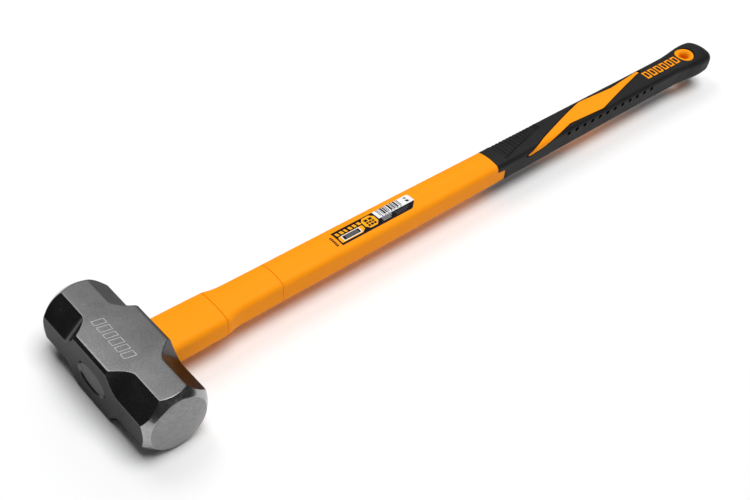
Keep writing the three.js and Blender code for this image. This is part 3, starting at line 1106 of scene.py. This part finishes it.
# ---- printed label ------------------------------------------------------
class LabelSheet:
    """Thin printed shapes that lie in the label's recess, layer over layer."""

    LAYER = 0.035

    def __init__(self):
        self.points, self.faces, self.picks, self.inks = [], [], [], []

    def add(self, outline, layer, ink):
        """A printed shape from its convex outline: x across from the label's own
        middle line, and y along the handle."""
        form = bmesh.new()
        form.faces.new([form.verts.new((x + LABEL_SHIFT, y, 0)) for x, y in outline])
        for x in np.arange(-12, 12.1, 1.5):
            whole = form.verts[:] + form.edges[:] + form.faces[:]
            bmesh.ops.bisect_plane(form, geom=whole, plane_co=(x, 0, 0), plane_no=(1, 0, 0))
        sheet = bmesh.ops.extrude_face_region(form, geom=form.faces[:])
        for vert in sheet["geom"]:
            if isinstance(vert, bmesh.types.BMVert):
                vert.co.z = self.LAYER
        bmesh.ops.recalc_face_normals(form, faces=form.faces[:])
        form.verts.index_update()
        start = len(self.points)
        for vert in form.verts:
            x, y, z = vert.co
            inside = POCKET_Y0 + 3 < y
            floor = surface_height(np.array(x), np.array(y)) - inside * pocket_depth(x)
            self.points.append((x, y, float(floor) + 0.02 + layer * self.LAYER + z))
        if ink not in self.inks:
            self.inks.append(ink)
        self.faces += [[start + vert.index for vert in face.verts] for face in form.faces]
        self.picks += [self.inks.index(ink)] * len(form.faces)
        form.free()

    def bar(self, x0, x1, y0, y1, layer, ink, lean=0.0):
        self.add([(x0, y0), (x1, y0 + lean), (x1, y1 + lean), (x0, y1)], layer, ink)


def rounded(x0, x1, y0, y1, radii, steps=6):
    """A rectangle's outline, counter-clockwise from (x0, y0), with its own radius at
    each corner. One step makes a plain chamfer."""
    corners = [(x0, y0, 180), (x1, y0, 270), (x1, y1, 0), (x0, y1, 90)]
    outline = []
    for (x, y, begin), radius in zip(corners, radii):
        cx = x + radius * (1 if x == x0 else -1)
        cy = y + radius * (1 if y == y0 else -1)
        for k in range(steps + 1):
            angle = math.radians(begin + 90 * k / steps)
            outline.append((cx + radius * math.cos(angle), cy + radius * math.sin(angle)))
    return outline


def build_label():
    sheet = LabelSheet()
    half, y0, y1 = LABEL_HALF, LABEL_Y0, LABEL_Y1
    split, white_edge = y0 + 55.3, 1.8
    far_left = [(1.8 - half, y1), (-half, y1 - 1.8)]
    body = [(-half, y0), (half, y0), (half, y1 - 10.5), (half - 1.2, y1 - 8), (white_edge, y1)]
    sheet.add(body + far_left, 0, "ink_black")
    field = [(-half, split), (white_edge, split), (white_edge, y1)]
    sheet.add(field + far_left, 1, "ink_white")
    # a row of plain slanted blocks where a name would be
    for k, width in enumerate((4.0, 4.3, 3.4, 4.2, 4.1, 4.6)):
        begin = y0 + 2.2 + 5.7 * k
        sheet.bar(-6.8, -2.6, begin, begin + width - 0.6, 1, "ink_orange", 0.9)
    # picture panel with a plain grey bar
    panel = [
        (-1.0, y0 + 3.4), (0.6, y0 + 1.8), (7.4, y0 + 1.8), (7.4, y0 + 29),
        (4.4, y0 + 34.2), (-0.6, y0 + 34.4), (-1.0, y0 + 33.6),
    ]
    sheet.add(panel, 1, "ink_orange")
    sheet.bar(-0.6, 6.4, y0 + 5.4, y0 + 29.4, 2, "ink_white")
    sheet.bar(0.2, 5.6, y0 + 6.6, y0 + 28.2, 3, "ink_black")
    sheet.bar(1.0, 4.9, y0 + 9.4, y0 + 26.2, 4, "ink_grey")
    # size badge with rows of plain blocks
    sheet.add(rounded(-8.4, 7.0, y0 + 36.2, y0 + 53.4, (4, 4, 4, 4), 1), 1, "ink_orange")
    rows = ((-5.4, -2.2, 2), (-1.1, 1.1, 3), (2.2, 4.9, 3))
    for low, high, count in rows:
        for k in range(count):
            begin = y0 + 39.6 + (5.8 if count == 2 else 3.8) * k
            sheet.bar(low, high, begin, begin + (4.2 if count == 2 else 2.9), 2, "ink_black")
    build_stripes(sheet, split, y1, white_edge)
    # a row of dashes printed on the handle before the label
    for k in range(6):
        begin = -5.2 + 2.3 * k
        sheet.bar(begin, begin + 1.75, y0 - 6.0, y0 - 3.3, 0, "ink_black")
    inks = [FINISH[name] for name in sheet.inks]
    names = ("product_label", "label_film")
    add_piece("printed_label", sheet.points, sheet.faces, inks, *names, 30, sheet.picks)


# Widths of the black and white stripes in turn: one unit, with every fifth and every
# eighth one wider. They follow this rule only, and encode nothing.
STRIPES = [1 + (k % 5 == 3) + 2 * (k % 8 == 6) for k in range(27)]
STRIPE_UNIT = 0.78


def build_stripes(sheet, y0, y1, edge):
    """Uneven black stripes on the white field, a few small marks past them, and fine
    pale lines on the dark strip beside it."""
    y = y0 + 4.4
    for k, units in enumerate(STRIPES):
        width = STRIPE_UNIT * units
        if k % 2 == 0:
            sheet.bar(-LABEL_HALF + 0.05, edge - 2.2, y, y + width, 2, "ink_black")
        y += width
    for k in range(7):
        begin = y0 + 5 + 4.2 * k
        sheet.bar(edge - 1.6, edge - 0.7, begin, begin + 2.4, 2, "ink_grey")
    sheet.bar(-7.8, -5.4, y1 - 8.4, y1 - 5.6, 2, "ink_grey", 0.8)
    sheet.bar(-3.6, -0.6, y1 - 9.0, y1 - 5.6, 2, "ink_black", 0.8)
    for k in range(3):
        low = edge + 0.9 + 1.7 * k
        sheet.bar(low, low + 0.7, y0 + 2.5, y0 + 17 - 2 * k, 1, "ink_silver")
    for k in range(3):
        low = edge + 2.2 + 1.5 * k
        sheet.bar(low, low + 0.4, y0 + 20, y0 + 40 - 3 * k, 1, "ink_grey")


# ---- mark on the head ---------------------------------------------------
def build_head_mark():
    """Generic painted mark on the upper flat: a row of slanted outline blocks."""
    z0, z1 = HEAD_HALF - 0.1, HEAD_HALF + 0.05
    line, length, lean = 0.5, 11.6, 2.6
    widths = (6.6, 7.2, 6.0, 7.2, 6.6, 7.0)
    points, faces = [], []
    for k, width in enumerate(widths):
        place = (k - (len(widths) - 1) / 2) * HEAD_MARK_PITCH
        x = place + HEAD_MARK_X - width / 2 - lean / 2
        y = HEAD_MARK_Y - length / 2
        outer = np.array([(0, 0), (width, 0), (width + lean, length), (lean, length)])
        middle = outer.mean(axis=0)
        shrink = np.array([1 - 2.3 * line / width, 1 - 2 * line / length])
        inner = middle + (outer - middle) * shrink
        start = len(points)
        for loop in (outer, inner):
            for px, py in loop:
                points += [(x + px, y + py, z0), (x + px, y + py, z1)]
        for i in range(4):
            a, b = start + 2 * i, start + 2 * ((i + 1) % 4)
            faces.append([a + 1, b + 1, b + 9, a + 9])
            faces.append([a, a + 8, b + 8, b])
            faces.append([a, b, b + 1, a + 1])
            faces.append([a + 8, a + 9, b + 9, b + 8])
    add_piece("head_mark", points, faces, [FINISH["ink_pale"]], slot="head_steel", sharp=30)


# ---- build --------------------------------------------------------------
FINISH = {
    "forged": forged_steel(),
    "ground": ground_steel(),
    "chamfer": chamfer_steel(),
    "orange": orange_plastic(),
    "rubber": black_rubber(),
    # painted shade: near-black rubber put in pits, grooves and round the grip's mark
    "pit": shaded_rubber(),
    "plug": plug_material(),
    "ink_black": print_ink("ink_black", (0.003, 0.0025, 0.006)),
    "ink_white": print_ink("ink_white", (0.86, 0.86, 0.86)),
    "ink_orange": print_ink("ink_orange", (1.0, 0.42, 0.006)),
    "ink_grey": print_ink("ink_grey", (0.1, 0.1, 0.105)),
    "ink_silver": print_ink("ink_silver", (0.4, 0.4, 0.4)),
    "ink_pale": print_ink("ink_pale", (0.55, 0.55, 0.56)),
}


def carried_over(node, material):
    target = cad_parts[node]
    target.data.materials.clear()
    target.data.materials.append(material)


build_camera()
build_light()
build_floor()
build_head()
build_plug()
build_head_mark()
build_sleeve("strike_guard", "overstrike_guard", GUARD_Y0, GUARD_Y1, np.arange(37, 97, 3))
build_sleeve("tapered_sleeve", "neck_sleeve", SLEEVE_Y0, SLEEVE_Y1, np.arange(99.2, 166, 1.2))
build_jacket()
build_grip()
build_inlays()
build_mark()
build_bush()
build_label()
carried_over("eye_resin", cast_epoxy())
carried_over("fibreglass_core", fibreglass())
